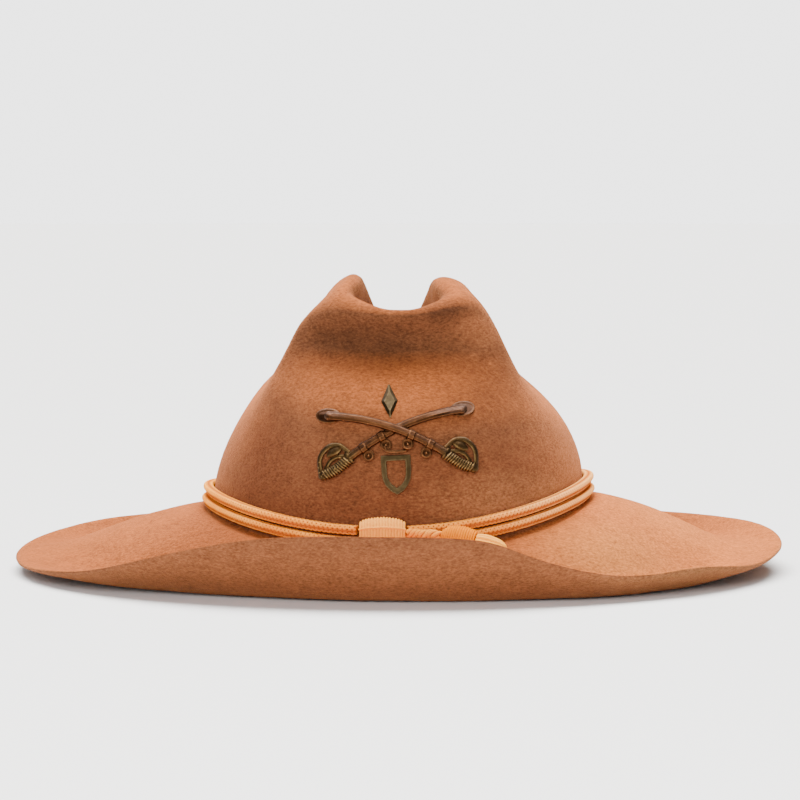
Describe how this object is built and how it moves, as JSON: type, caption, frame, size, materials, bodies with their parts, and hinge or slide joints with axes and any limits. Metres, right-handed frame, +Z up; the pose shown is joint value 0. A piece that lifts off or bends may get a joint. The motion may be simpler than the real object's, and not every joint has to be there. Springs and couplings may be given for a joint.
{
  "type": "campaign hat",
  "caption": "Felt campaign hat with a creased crown, rolled brim, braided hat cord with slide and acorns, and a crossed-sabre badge.",
  "frame": {"origin": "middle of the hat's outline on the surface it rests on", "axes": "+Z up through the crown, -Y towards the front with the badge, +X to the right seen from the front"},
  "size_m": [0.346, 0.3532, 0.1333],
  "materials": {
    "felt": "matte tan-brown wool felt",
    "cord": "braided worsted cord, faded buff",
    "thread": "wound pale thread",
    "acorn_cap": "wound orange thread",
    "bronze": "dark brown patina with worn high spots"
  },
  "bodies": {
    "root": {"felt_body": "felt", "cord_lower": "cord", "cord_upper": "cord", "slide": "thread", "tail_upper": "cord", "tail_lower": "cord", "acorn_cap_upper": "acorn_cap", "acorn_cap_lower": "acorn_cap", "acorn_nut_upper": "thread", "acorn_nut_lower": "thread", "sabres": "bronze", "upper_ornament": "bronze", "lower_ornament": "bronze"}
  },
  "joints": []
}
